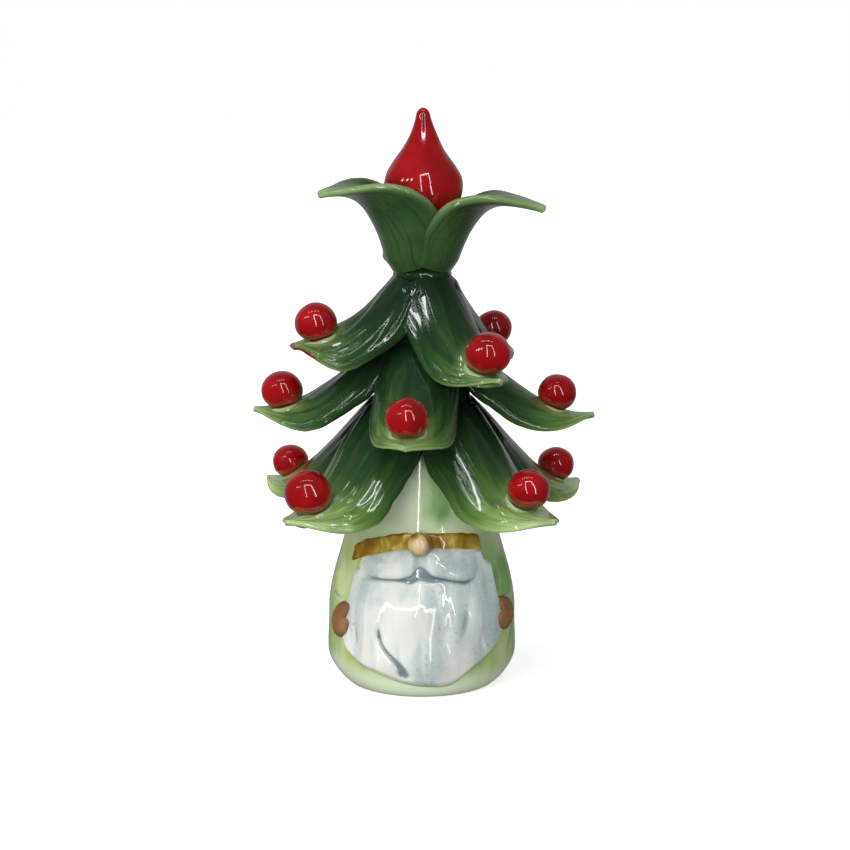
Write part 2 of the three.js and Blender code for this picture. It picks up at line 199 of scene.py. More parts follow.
DAYLIGHT_HEADING, DAYLIGHT_SPREAD, DAYLIGHT_STRENGTH = (0.75, 0.6, -0.8), 60, 1.0
daylight_data = bpy.data.lights.new("soft_daylight", "SUN")
daylight_data.energy = DAYLIGHT_STRENGTH
daylight_data.angle = math.radians(DAYLIGHT_SPREAD)
daylight = bpy.data.objects.new("soft_daylight", daylight_data)
daylight.rotation_euler = Vector(DAYLIGHT_HEADING).to_track_quat("-Z", "Y").to_euler()
daylight.visible_glossy = False
bpy.context.scene.collection.objects.link(daylight)


def lamp(name, place, target, size, power, mirrored):
    """A rectangular lamp. One that isn't mirrored lights the ornament but isn't seen in its glaze."""
    data = bpy.data.lights.new(name, "AREA")
    data.shape = "RECTANGLE"
    data.size, data.size_y = size
    data.energy = power
    made = bpy.data.objects.new(name, data)
    made.location = place
    made.rotation_euler = (Vector(target) - Vector(place)).to_track_quat("-Z", "Y").to_euler()
    made.visible_glossy = mirrored
    bpy.context.scene.collection.objects.link(made)
    return made


AIM = (0, 0, 0.13)
KEY_PLACE, KEY_SIZE, KEY_POWER = (-0.55, -0.85, 1.1), (0.9, 0.9), 2.0
FILL_PLACE, FILL_SIZE, FILL_POWER = (-0.5, -1.15, 0.26), (0.9, 0.6), 6.5
lamp("key_softbox", KEY_PLACE, AIM, KEY_SIZE, KEY_POWER, False)
lamp("fill_softbox", FILL_PLACE, AIM, FILL_SIZE, FILL_POWER, False).visible_camera = False

STRIP_BRIGHTNESS, WINDOW_BRIGHTNESS = 15, 5
BAR_DISTANCE, FRAME_TOP_DISTANCE = 0.6, 0.45
FRAME_TOP_WIDTH, FRAME_SIDE_WIDTH = 0.022, 0.016
WINDOW_TOP_WIDTH, WINDOW_SIDE_WIDTH = 0.04, 0.035
CEILING_LAMPS, CEILING_HEIGHT, CEILING_START, CEILING_SPACING, CEILING_WIDTH = 5, 1.1, -0.5, 0.17, 0.025
SIDE_LAMPS, SIDE_WIDTH = 3, 0.02


def strip(name, start, end, width, brightness=STRIP_BRIGHTNESS):
    """A narrow bright bar from start to end that faces the ornament and is seen only in its glaze."""
    start, end = Vector(start), Vector(end)
    middle = (start + end) / 2
    length = (end - start).length
    along = (end - start).normalized()
    facing = (Vector(AIM) - middle).normalized()
    facing = (facing - along * facing.dot(along)).normalized()
    made = lamp(name, middle, AIM, (length, width), brightness * math.pi * length * width, True)
    made.rotation_euler = Matrix((along, facing.cross(along) * -1, facing * -1)).transposed().to_euler()
    made.visible_camera = False
    made.visible_diffuse = False
    return made


def seen_from_centre(azimuth, elevation, distance):
    """The point at an azimuth, an elevation and a level distance from the middle of the ornament."""
    turn = math.radians(azimuth)
    rise = distance * math.tan(math.radians(elevation))
    return Vector((distance * math.sin(turn), -distance * math.cos(turn), AIM[2] + rise))


top_left, top_right = (seen_from_centre(turn, 52, FRAME_TOP_DISTANCE) for turn in (-19, 21))
low_left, low_right = (seen_from_centre(turn, -8, BAR_DISTANCE) for turn in (-3, 34))
strip("frame_top", top_left, top_right, FRAME_TOP_WIDTH)
strip("frame_left", top_left, low_left, FRAME_SIDE_WIDTH)
strip("frame_right", top_right, low_right, FRAME_SIDE_WIDTH)

# The bars of a wider, dimmer window. The section on the beard limits them to that piece.
high_left, high_right = (seen_from_centre(turn, 7, BAR_DISTANCE) for turn in (-41, 15))
deep_left, deep_right = (seen_from_centre(turn, -21, BAR_DISTANCE) for turn in (-52, 17))
window_frame = [
    strip("window_top", high_left, high_right, WINDOW_TOP_WIDTH, WINDOW_BRIGHTNESS),
    strip("window_left", high_left, deep_left, WINDOW_SIDE_WIDTH, WINDOW_BRIGHTNESS),
    strip("window_right", high_right, deep_right, WINDOW_SIDE_WIDTH, WINDOW_BRIGHTNESS),
]
for i in range(CEILING_LAMPS):
    across = CEILING_SPACING * i + CEILING_START
    ends = (across, -0.14, CEILING_HEIGHT), (across + 0.1, -0.12, CEILING_HEIGHT)
    strip(f"ceiling_lamp_{i}", *ends, CEILING_WIDTH)
for i in range(SIDE_LAMPS):
    turn = 9 * i - 62
    low = seen_from_centre(turn, 24 + 4 * i, BAR_DISTANCE)
    high = seen_from_centre(turn + 2, 31 + 4 * i, BAR_DISTANCE)
    strip(f"side_lamp_{i}", low, high, SIDE_WIDTH)

TABLE_HALF = 6
TABLE_GLOW = 0.45
table_mesh = bmesh.new()
bmesh.ops.create_grid(table_mesh, x_segments=2, y_segments=2, size=TABLE_HALF)
table_data = bpy.data.meshes.new("table")
table_mesh.to_mesh(table_data)
table = bpy.data.objects.new("table", table_data)
bpy.context.scene.collection.objects.link(table)
table_finish = Recipe("white_table", Roughness=0.7, Emission_Color=(1, 1, 1, 1), Emission_Strength=TABLE_GLOW)
table_color = table_finish.ramp(table_finish.grain(3.0), (0.3, "f8f8f7"), (0.7, "fcfcfc"))
table.data.materials.append(table_finish.finish(table_color))
table.visible_glossy = False
table.visible_diffuse = False


# --- Coat -------------------------------------------------------------------------------------------
# The gnome's coat is a bell of white clay, thrown on a wheel with a 5 mm wall and open at its foot. It
# is brushed with a thin green glaze that runs down in streaks, and its foot ring is wiped bare.

WALL = 5 * MM
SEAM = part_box("hat_cone")[0].z
CONE_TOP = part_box("hat_cone")[1].z
HAND_WOBBLE = 0.35 * MM
OUTLINE = [(0, 35.6), (2.5, 38.3), (7, 40.4), (14, 41.4), (27, 41), (36, 40.8), (47, 38.9), (56, 36.4)]
OUTLINE += [(66, 33.6), (78, 31), (105, 26.2), (122, 22), (140, 17.6), (158, 13.6), (172, 11.2)]
OUTLINE += [(183, 10.2), (191.7, 8)]
FOOT_TUCK, FOOT_TUCK_HEIGHT = 2.9 * MM, 13 * MM
STEADY_FOOT = 12 * MM


def eased(points, at):
    """A smooth curve through (place, value) points."""
    i = 0
    while i < len(points) - 2 and at > points[i + 1][0]:
        i += 1
    slopes = []
    for j in (i, i + 1):
        low, high = points[max(j - 1, 0)], points[min(j + 1, len(points) - 1)]
        slopes.append((high[1] - low[1]) / (high[0] - low[0]))
    (start, first), (end, last) = points[i], points[i + 1]
    span = end - start
    t = (at - start) / span
    return (
        (2 * t**3 - 3 * t**2 + 1) * first
        + (t**3 - 2 * t**2 + t) * span * slopes[0]
        + (3 * t**2 - 2 * t**3) * last
        + (t**3 - t**2) * span * slopes[1]
    )


def on_axis(azimuth, radius, height):
    """The point at an azimuth, a distance from the axis and a height."""
    turn = math.radians(azimuth)
    return Vector((radius * math.sin(turn), -radius * math.cos(turn), height))


def smooth(value, start, end):
    t = min(1.0, max(0.0, (value - start) / (end - start)))
    return t * t * (3 - 2 * t)


def coat_radius(azimuth, height):
    """The outside of the bell and the cone, with the slight unevenness of hand work."""
    base = eased(OUTLINE, height / MM) * MM
    tuck = FOOT_TUCK * math.sin(math.radians(azimuth)) ** 2 * (1 - smooth(height, 0, FOOT_TUCK_HEIGHT))
    unevenness = noise.noise(on_axis(azimuth, 1.4, height * 28))
    return base - tuck + HAND_WOBBLE * unevenness * smooth(height, 0, STEADY_FOOT)


SHARP_ANGLE = math.radians(50)


def make_object(name, shape, finish, slot, *nodes):
    """Gives a piece its mesh and finish, and sets it on the body in place of its CAD nodes."""
    data = bpy.data.meshes.new(name)
    bmesh.ops.remove_doubles(shape, verts=shape.verts, dist=1e-7)
    bmesh.ops.recalc_face_normals(shape, faces=shape.faces)
    for face in shape.faces:
        face.smooth = True
    shape.to_mesh(data)
    shape.free()
    data.set_sharp_from_angle(angle=SHARP_ANGLE)
    data.materials.append(finish)
    piece = bpy.data.objects.new(name, data)
    bpy.context.scene.collection.objects.link(piece)
    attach(piece, "root")
    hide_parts(*nodes)
    return piece


def turned(profile, steps):
    """A profile of (radius, height) points, turned once about the axis."""
    shape = bmesh.new()
    verts = [shape.verts.new((radius, 0, height)) for radius, height in profile]
    edges = [shape.edges.new(pair) for pair in zip(verts, verts[1:])]
    bmesh.ops.spin(
        shape, geom=verts + edges, cent=(0, 0, 0), axis=(0, 0, 1),
        angle=math.tau, steps=steps, use_merge=True,
    )
    bmesh.ops.remove_doubles(shape, verts=shape.verts, dist=1e-6)
    return shape


def place_of(point):
    """The azimuth and the distance from the axis of a point."""
    return math.degrees(math.atan2(point.x, -point.y)), math.hypot(point.x, point.y)


def spaced(start, end, count):
    return [start + (end - start) * i / count for i in range(count + 1)]


def shell(bottom, top, count):
    """A wall between two heights: up the outside, and down the inside."""
    outside = [(eased(OUTLINE, z / MM) * MM, z) for z in spaced(bottom, top, count)]
    inside = [(radius - WALL, z) for radius, z in reversed(outside)]
    return outside + inside


COAT_FOLDS = [
    {"azimuth": 70, "height": 22, "lean": 0.5, "length": 9, "depth": 1.0},
    {"azimuth": -66, "height": 50, "lean": -0.3, "length": 9, "depth": 0.8},
    {"azimuth": 66, "height": 49, "lean": -0.4, "length": 10, "depth": 0.8},
    {"azimuth": 100, "height": 30, "lean": 0.3, "length": 16, "depth": 0.8},
    {"azimuth": -104, "height": 28, "lean": -0.3, "length": 16, "depth": 0.8},
    {"azimuth": 180, "height": 34, "lean": 0.1, "length": 20, "depth": 0.7},
]
CUFFS = [(-50, 30.5), (54, 37), (-64, 44), (67, 44)]
FOLD_WIDTH, FOLD_PRESS = 1.6, 0.45 * MM


def settle(shape):
    """Lays a turned wall on the uneven surface of the coat, and presses the coat's folds into it."""
    fold_mark, cuff_mark = (shape.verts.layers.float.new(name) for name in ("fold", "cuff"))
    for vert in shape.verts:
        azimuth, radius = place_of(vert.co)
        height = vert.co.z / MM
        for fold in COAT_FOLDS:
            reach = (height - fold["height"]) / fold["length"]
            centre = fold["azimuth"] + fold["lean"] * (height - fold["height"]) + 1.5 * math.sin(reach * 3)
            off = (azimuth - centre + 180) % 360 - 180
            press = math.exp(-((off / FOLD_WIDTH) ** 2)) * math.exp(-(reach**2) * 1.5) * fold["depth"]
            vert[fold_mark] = max(vert[fold_mark], press)
        for cuff_azimuth, cuff_height in CUFFS:
            spread = ((azimuth - cuff_azimuth) / 7) ** 2 + ((height - cuff_height) / 5) ** 2
            vert[cuff_mark] = max(vert[cuff_mark], math.exp(-spread))
        if radius > eased(OUTLINE, height) * MM - 1 * MM:
            vert.co = on_axis(azimuth, radius - FOLD_PRESS * vert[fold_mark], vert.co.z)
    for vert in shape.verts:
        azimuth, radius = place_of(vert.co)
        smooth_radius = eased(OUTLINE, vert.co.z / MM) * MM
        shift = coat_radius(azimuth, vert.co.z) - smooth_radius
        vert.co = on_axis(azimuth, radius + shift, vert.co.z)


coat = Recipe("coat_glaze", Roughness=0.16, IOR=1.5, Coat_Weight=0.8, Coat_Roughness=0.03)
runs = coat.grain(36, 5, (1, 1, 0.34), distortion=0.9)
patches = coat.grain(20, 3, (1, 1, 0.7))
fine = coat.grain(110, 3, (1, 1, 0.16), distortion=0.3)
side = coat.node("ShaderNodeSeparateXYZ", None, {0: coat.node("ShaderNodeTexCoord", output=3)}, output=0)
base = coat.mix(coat.step(side, -0.02, 0.035), linear("a6b76a"), linear("a0c384"))
base = coat.mix(coat.step(patches, 0.5, 0.68) * 0.7, base, linear("b5bc76"))
base = coat.mix(coat.step(runs, 0.47, 0.66) * 0.85, base, linear("6a9447"))
base = coat.mix(coat.step(runs, 0.46, 0.3) * 0.8, base, linear("c4d0a0"))
base = coat.mix(coat.step(fine, 0.5, 0.72) * 0.5, base, linear("6a9048"))
upper = coat.step(coat.height() + (patches - 0.5) * 0.02, 0.056, 0.07)
base = coat.mix(upper * 0.6, base, linear("c9d7b0"))
hem = coat.step(coat.height() + (patches - 0.5) * 0.012, 0.016, 0.005)
base = coat.mix(hem * 0.85, base, linear("e4f2d3"))
# Painted shade darkens the coat along its pressed folds.
base = coat.mix(coat.measure("fold") * 0.75, base, linear("56783f"))
base = coat.mix(coat.measure("cuff") * 0.8, base, linear("d0dac6"))
foot = coat.step(coat.height(), 0.0012, 0.0002)
base = coat.mix(foot, base, linear("e0d8c8"))
SEAM_GLAZE = linear("cbd9b5")
seam = coat.step(coat.height() + (runs - 0.5) * 0.004, SEAM - 4 * MM, SEAM - 1 * MM)
base = coat.mix(seam * 0.9, base, SEAM_GLAZE)
coat_finish = coat.finish(base, 0.13 + foot * 0.5, coat.grain(60, 2), 0.3, 0.0005)

bell = turned(shell(0, SEAM, 56) + [(eased(OUTLINE, 0) * MM, 0)], 144)
settle(bell)
make_object("body_shell_glazed", bell, coat_finish, "coat_glaze", "body_shell")


# --- Hat cone ---------------------------------------------------------------------------------------
# The hat is a thrown hollow cone, luted on the bell above the brim. Where it shows between the front
# leaves it has the coat's pale glaze, and it darkens to bottle green under the leaves.

hat = Recipe("hat_glaze", Roughness=0.14, IOR=1.5, Coat_Weight=0.8, Coat_Roughness=0.03)
hat_runs = hat.grain(34, 4, (1, 1, 0.35), distortion=0.8)
hat_veil = hat.grain(14, 3)
pale = hat.ramp(hat_runs, (0.34, "e8f0dc"), (0.48, "d6e4c2"), (0.58, "acca93"), (0.68, "6f9c58"))
pale = hat.mix(hat.step(hat_veil, 0.5, 0.66) * 0.6, pale, linear("dfe9d2"))
near_seam = hat.step(hat.height() + (hat_runs - 0.5) * 0.01, SEAM + 9 * MM, SEAM + 1 * MM)
pale = hat.mix(near_seam * 0.9, pale, SEAM_GLAZE)
dark = hat.ramp(hat_runs, (0.35, "22401f"), (0.65, "172c17"))
rise = hat.height() + (hat_runs - 0.5) * 0.03
hat_color = hat.mix(hat.step(rise, 0.089, 0.109), pale, dark)
hat_finish = hat.finish(hat_color, 0.12, hat.grain(70, 2), 0.25, 0.0004)

HOLLOW_TOP = 168 * MM
NECK_HEIGHT, NECK_SLIP, NECK_REACH = 178.8 * MM, 2.2 * MM, 2.4 * MM


def neck_slip(point):
    """How far the lumpy ring of slip under the crown stands out from the cone."""
    lumps = 1 + 0.5 * noise.noise(point * 190)
    return NECK_SLIP * math.exp(-(((point.z - NECK_HEIGHT) / NECK_REACH) ** 2)) * lumps


cone_profile = [(eased(OUTLINE, z / MM) * MM, z) for z in spaced(SEAM, CONE_TOP, 110)]
roof = [(0, CONE_TOP), (0, HOLLOW_TOP)]
inner = [(radius - WALL, z) for radius, z in reversed(cone_profile) if z < HOLLOW_TOP]
cone = turned(cone_profile + roof + inner + [cone_profile[0]], 120)
settle(cone)
for vert in cone.verts:
    azimuth, radius = place_of(vert.co)
    if radius > 3 * MM:
        vert.co = on_axis(azimuth, radius + neck_slip(vert.co), vert.co.z)
make_object("hat_cone_glazed", cone, hat_finish, "hat_glaze", "hat_cone")


# --- Leaves -----------------------------------------------------------------------------------------
# Each leaf is a strap of clay, pressed over a round form, combed lengthwise, cut to a point and luted on
# the cone by its root. The glaze is dark where it lies thick at the root, and thin and pale at the tip.

STRAP_THICKNESS = 4.8 * MM
RIM_ROUND = 2.6 * MM
COMB_DEPTH, SWELL = 0.95 * MM, 0.7 * MM
CUT_TIP = 0.1
SEED_STEP = 7.31
TIERS = {
    "top": {
        "root": (9.5, 178), "slope": -52, "reach": 19, "tip_reach": 20, "half_width": 21.5, "bend": 18,
        "glaze_reach": 0.76,
        "leaves": {
            "left": {"azimuth": -76, "tip": (57.6, 149), "tip_slope": -2, "ball_at": 0.77, "comb": 1.0,
                     "half_width": 24.5, "blunt": 0.2, "taper": 0.68},
            "right": {"azimuth": 36, "tip": (56.6, 138.5), "tip_slope": 4, "ball_at": 0.76, "comb": 0.2},
            "back": {"azimuth": 139, "tip": (60, 141), "tip_slope": 4, "ball_at": 0.76, "comb": 0.3},
        },
    },
    "middle": {
        "root": (14, 149.5), "slope": -39, "reach": 25, "tip_reach": 22, "half_width": 22, "bend": 19,
        "glaze_reach": 0.89,
        "leaves": {
            "front": {"azimuth": -6, "tip": (69.5, 114), "tip_slope": -6, "ball_at": 0.76, "comb": 0.4},
            "right": {"azimuth": 90, "tip": (75.3, 117.3), "tip_slope": 8, "ball_at": 0.7, "comb": 0.2},
            "back": {"azimuth": 180, "tip": (69.5, 116), "tip_slope": 8, "ball_at": 0.75, "comb": 0.6},
            "left": {"azimuth": -90, "tip": (73.6, 119.7), "tip_slope": 11, "ball_at": 0.77, "comb": 1.0},
        },
    },
    "bottom": {
        "root": (20, 124), "slope": -42, "reach": 28, "tip_reach": 24, "half_width": 27, "bend": 24.5,
        "glaze_reach": 1.12,
        "leaves": {
            "front_left": {"azimuth": -45, "tip": (80, 81), "tip_slope": 7, "ball_at": 0.75, "comb": 0.8},
            "front_right": {"azimuth": 45, "tip": (79, 81), "tip_slope": 7, "ball_at": 0.69, "comb": 0.25},
            "back_right": {"azimuth": 119, "tip": (82, 80), "tip_slope": 7, "ball_at": 0.77, "comb": 0.5},
            "back": {"azimuth": 180, "tip": (70.5, 84), "tip_slope": 7, "ball_at": 0.75, "comb": 0.6},
            "back_left": {"azimuth": -121, "tip": (82.5, 81), "tip_slope": 7, "ball_at": 0.77, "comb": 1.0},
        },
    },
}


def heading(degrees, length):
    return Vector((math.cos(math.radians(degrees)), math.sin(math.radians(degrees)))) * length


class Strap:
    """The form of one leaf or petal. Its midline is a Bezier curve in the upright plane of its azimuth,
    and its section is an arc that turns its flanks down, or up where the bend is negative."""

    def __init__(self, tier, leaf, seed):
        self.azimuth = leaf["azimuth"]
        root = Vector(tier["root"])
        tip = Vector(leaf["tip"])
        start = root + heading(tier["slope"], tier["reach"])
        end = tip - heading(leaf["tip_slope"], leaf.get("tip_reach", tier.get("tip_reach")))
        self.points = [point * MM for point in (root, start, end, tip)]
        self.half_width = leaf.get("half_width", tier.get("half_width")) * MM
        self.bend = leaf.get("bend", tier.get("bend")) * MM
        self.opening = tier.get("opening", 0)
        self.root_width = tier.get("root_width", 0.82)
        self.taper = leaf.get("taper", tier.get("taper", 0.52))
        self.blunt = leaf.get("blunt", 0.03)
        self.glaze_reach = tier.get("glaze_reach", 1.0)
        self.flank_thinning = tier.get("flank_thinning", 0.2)
        self.tip_thinning = tier.get("tip_thinning", 0.45)
        self.tuck = tier.get("tuck", 0) * MM
        self.seed = seed

    def line(self, along):
        a, b, c, d = self.points
        t, s = along, 1 - along
        centre = a * s**3 + b * 3 * s * s * t + c * 3 * s * t * t + d * t**3
        tangent = (b - a) * s * s + (c - b) * 2 * s * t + (d - c) * t * t
        return centre, tangent.normalized()

    def width(self, along):
        root = self.root_width + (1 - self.root_width) * smooth(along, 0, 0.3)
        past = max(0.0, (along - self.taper) / (1 - self.taper))
        return self.half_width * root * max(self.blunt, 1 - past**2)

    def thickness(self, across, along):
        """The clay's thickness, with a rounded rim."""
        rim = min(0.6, RIM_ROUND / self.width(along))
        inward = min(1.0, (1 - abs(across)) / rim)
        rounding = math.sqrt(max(0.0, 1 - (1 - inward) ** 2))
        flank = 1 - self.flank_thinning * across * across
        tip = 1 - self.tip_thinning * smooth(along, self.taper, 1)
        return STRAP_THICKNESS * flank * tip * rounding

    def point(self, across, along, height):
        """across runs from -1 to 1, along from 0 at the root to 1, and height from the mid-thickness."""
        centre, tangent = self.line(along)
        bend = self.bend * (1 + self.opening * along * along)
        turn = across * self.width(along) / bend
        sideways = (bend + height) * math.sin(turn)
        lift = (bend + height) * math.cos(turn) - bend
        out = centre.x - tangent.y * lift - self.tuck * (1 - smooth(along, 0, 0.13))
        up = centre.y + tangent.x * lift
        turned_to = math.radians(self.azimuth)
        return Vector((
            out * math.sin(turned_to) + sideways * math.cos(turned_to),
            -out * math.cos(turned_to) + sideways * math.sin(turned_to),
            up,
        ))

    def normal(self, along):
        return (self.point(0, along, MM) - self.point(0, along, 0)).normalized()


def comb_mark(across, along, seed):
    """The ridges and grooves that a comb leaves along a strap, between about -1 and 1."""
    drift = across + 0.12 * math.sin(along * 5 + seed)
    lane = noise.noise(Vector((drift * 4.5, along * 1.3, seed)))
    thread = noise.noise(Vector((drift * 13, along * 2.2, seed + 9)))
    return 0.9 * lane + 0.6 * thread


def strap_mesh(strap, across_count, along_count, comb, ball=None, lug=None):
    """The closed slab of a leaf, with its comb marks. Its vertices keep where they lie on the strap."""
    shape = bmesh.new()
    bmesh.ops.create_grid(shape, x_segments=across_count, y_segments=along_count, size=1)
    bmesh.ops.solidify(shape, geom=shape.faces[:], thickness=1.0)
    names = ("across", "along", "thinning", "halo", "upper", "cut")
    layers = {name: shape.verts.layers.float.new(name) for name in names}
    for vert in shape.verts:
        x, along, level = -vert.co.x, (vert.co.y + 1) / 2, vert.co.z + 0.5
        across = x * (1.5 - 0.5 * x * x)
        height = level * strap.thickness(across, along)
        fade = smooth(along, 0.0, 0.12) * (1 - smooth(along, 0.85, 1.0)) * (1 - abs(across) ** 6)
        marks = comb * comb_mark(across, along, strap.seed) * (1 if level > 0 else 0.4)
        height += COMB_DEPTH * marks * fade
        lumps = noise.noise(Vector((across * 1.3, along * 3.2, strap.seed + 4)))
        height += SWELL * lumps * smooth(along, 0, 0.4)
        if lug is not None and level < 0:
            height -= lug["rise"] * MM * math.exp(
                -(((across - lug["across"]) / 0.06) ** 2) - (((along - lug["along"]) / 0.035) ** 2)
            )
        waver = 0.06 * noise.noise(Vector((along * 5, math.copysign(3, across), strap.seed)))
        waver += 0.015 * noise.noise(Vector((along * 26, math.copysign(3, across), strap.seed)))
        lean = 1 + waver * smooth(abs(across), 0.4, 1.0)
        vert[layers["across"]] = across
        vert[layers["along"]] = along
        vert[layers["thinning"]] = along * strap.glaze_reach
        if strap.blunt > CUT_TIP:
            end_cut = smooth(abs(across), 0.9, 0.97) * smooth(along, 0.84, 0.9)
            vert[layers["cut"]] = max(end_cut, smooth(along, 0.975, 0.995))
        vert[layers["upper"]] = level + 0.5
        vert.co = strap.point(across * lean, along, height)
        if ball is not None:
            centre, radius = ball
            away = (vert.co - centre).length - radius
            vert[layers["halo"]] = 1 - smooth(away, 0.3 * MM, 6.5 * MM)
    return shape


def leaf_recipe(name, stops, rim_start, rim_from, rim_color, underside_shade):
    """The green glaze of leaves and petals. It thins to rim_color on the rim and at the tip. The underside
    gets painted shade, as much as the last argument gives.
    """
    leaf = Recipe(name, Roughness=0.1, IOR=1.5, Coat_Weight=1.0, Coat_Roughness=0.02)
    across, along = leaf.measure("across"), leaf.measure("along")
    lanes = leaf.node("ShaderNodeCombineXYZ", None, {0: across, 1: along})
    threads = leaf.grain(1.0, 4, (17, 1.8, 1), lanes)
    brush = leaf.grain(1.0, 3, (5, 2.2, 1), lanes, 0.8)
    mottle = leaf.grain(55, 3)
    shifted = leaf.measure("thinning") + (brush - 0.5) * 0.28
    color = leaf.ramp(shifted, *stops)
    shade = leaf.ramp(shifted, (0, "0f1c0f"), (0.5, "1c3019"), (0.8, "46622b"), (1, "7f9c52"))
    color = leaf.mix(leaf.step(threads, 0.5, 0.68) * 0.55, color, shade)
    color = leaf.mix(leaf.step(mottle, 0.52, 0.72) * 0.4, color, linear("17352a"))
    washed = leaf.step(brush, 0.46, 0.72) * leaf.step(along, 0.1, 0.3) * leaf.measure("upper")
    wash = leaf.ramp(shifted, (0.2, "35551f"), (0.6, "587a36"), (1, "9cb86a"))
    color = leaf.mix(washed * 0.3, color, wash)
    color = leaf.mix(leaf.measure("halo") * 0.55 * leaf.step(along, 0.4, 0.7), color, linear("8ea869"))
    edge = leaf.node("ShaderNodeMath", {"operation": "ABSOLUTE"}, {0: across})
    rim = leaf.step(edge + (threads - 0.5) * 0.06, rim_start, 1.0)
    rim = rim * leaf.step(along, rim_from, rim_from + 0.5)
    color = leaf.mix(rim * (0.3 + threads * 0.6), color, rim_color)
    # Painted shade darkens the undersides of leaves and petals.
    color = leaf.mix((1 - leaf.measure("upper")) * underside_shade * (1 - rim), color, linear("1f3a1e"))
    color = leaf.mix(leaf.step(along, 0.95, 1.0) * 0.5, color, rim_color)
    color = leaf.mix(leaf.measure("cut") * leaf.step(mottle, 0.3, 0.5), color, linear("6a1418"))
    return leaf.finish(color, 0.08 + leaf.step(mottle, 0.4, 0.8) * 0.06, threads, 0.45, 0.0007)


LEAF_STOPS = [(0.0, "12251a"), (0.33, "1b341b"), (0.5, "294923"), (0.62, "43632d"), (0.74, "5c7c39")]
LEAF_STOPS += [(0.85, "84a158"), (1.0, "b6d08e")]
leaf_finish = leaf_recipe("leaf_glaze", LEAF_STOPS, 0.93, 0.45, linear("a3b87c"), 0.5)

straps = {}
seed = 0
for tier_name, tier in TIERS.items():
    for leaf_name, leaf in tier["leaves"].items():
        name = f"{tier_name}_{leaf_name}"
        seed += 1
        strap = Strap(tier, leaf, seed * SEED_STEP)
        straps[name] = strap, leaf["ball_at"]
        low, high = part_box(f"ball_{name}")
        slab = strap_mesh(strap, 56, 64, leaf["comb"], ((low + high) / 2, (high.z - low.z) / 2))
        piece = make_object(f"leaf_{name}_glazed", slab, leaf_finish, "leaf_glaze", f"leaf_{name}")
        subdivision = piece.modifiers.new("rounding", "SUBSURF")
        subdivision.levels = subdivision.render_levels = 1


# --- Balls and their collars ------------------------------------------------------------------------
# Twelve rolled balls of clay, dipped in red glaze, each pressed on its leaf into a collar of slip. The
# glaze gathers darker at the foot of a ball.

berry = Recipe("berry_glaze", Roughness=0.1, IOR=1.5, Coat_Weight=1.0, Coat_Roughness=0.015)
clouds = berry.grain(85, 3)
foot_shade = berry.measure("foot")
red = berry.ramp(clouds, (0.3, "7c070d"), (0.5, "920910"), (0.72, "a40d16"))
red = berry.mix(foot_shade * 0.75, red, linear("420509"))
berry_finish = berry.finish(red, 0.07 + clouds * 0.05, berry.grain(130, 2), 0.12, 0.0003)

collar = Recipe("collar_glaze", Roughness=0.1, IOR=1.5, Coat_Weight=1.0, Coat_Roughness=0.02)
slip = collar.grain(160, 3)
SLIP_STOPS = [(0.0, "5a7540"), (0.35, "7d9860"), (0.8, "98ac7a"), (1.0, "738a54")]
slip_color = collar.ramp(collar.measure("foot"), *SLIP_STOPS)
slip_color = collar.mix(collar.step(slip, 0.55, 0.75) * 0.4, slip_color, linear("c2d0ae"))
collar_finish = collar.finish(slip_color, 0.09, slip, 0.2, 0.0003)

BALL_DENT, BALL_SPREAD, BALL_FLATTENING = 0.035, 1.03, 0.97
COLLAR = [(0.62, -0.86), (0.79, -0.66), (0.92, -0.72), (1.04, -0.83), (1.2, -0.95), (1.1, -1.12), (0.7, -1.1)]

for name, (strap, ball_at) in straps.items():
    low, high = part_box(f"ball_{name}")
    centre, radius = (low + high) / 2, (high.z - low.z) / 2
    ball = bmesh.new()
    bmesh.ops.create_icosphere(ball, subdivisions=5, radius=radius)
    foot = ball.verts.layers.float.new("foot")
    for vert in ball.verts:
        way = vert.co.normalized()
        dent = noise.noise(way * 1.3 + Vector((strap.seed, 0, 0)))
        vert.co *= 1 + BALL_DENT * dent
        vert.co.x *= BALL_SPREAD
        vert.co.y *= BALL_SPREAD
        vert.co.z *= BALL_FLATTENING
        vert[foot] = 1 - smooth(way.z, -0.95, -0.45)
        vert.co += centre
    make_object(f"ball_{name}_glazed", ball, berry_finish, "berry_glaze", f"ball_{name}")

    ring = bmesh.new()
    verts = [ring.verts.new((r * radius, 0, z * radius)) for r, z in COLLAR]
    edges = [ring.edges.new(pair) for pair in zip(verts, verts[1:] + verts[:1])]
    bmesh.ops.spin(
        ring, geom=verts + edges, cent=(0, 0, 0), axis=(0, 0, 1), angle=math.tau, steps=40, use_merge=True,
    )
    upright = strap.normal(ball_at)
    level = (strap.point(0.01, ball_at, 0) - strap.point(0, ball_at, 0)).normalized()
    forward = upright.cross(level)
    pose = Matrix((level, forward, upright)).transposed()
    foot = ring.verts.layers.float.new("foot")
    for vert in ring.verts:
        reach = math.hypot(vert.co.x, vert.co.y) / radius
        vert[foot] = 1 - smooth(reach, 0.72, 1.2)
        outer = smooth(reach, 0.7, 1.1)
        ripple = 1 + 0.06 * noise.noise(Vector((vert.co.x * 300, vert.co.y * 300, strap.seed)))
        vert.co.z = vert.co.z * ripple - outer * vert.co.x**2 / (2 * abs(strap.bend))
        vert.co = pose @ vert.co + centre
    piece = make_object(f"seat_{name}_glazed", ring, collar_finish, "collar_glaze", f"seat_{name}")
    subdivision = piece.modifiers.new("rounding", "SUBSURF")
    subdivision.levels = subdivision.render_levels = 2


# --- Crown ------------------------------------------------------------------------------------------
# Three broad petals are luted round the neck of the hat. They wrap the bud, meet edge to edge below and
# flare outwards above, with a pale rolled rim.

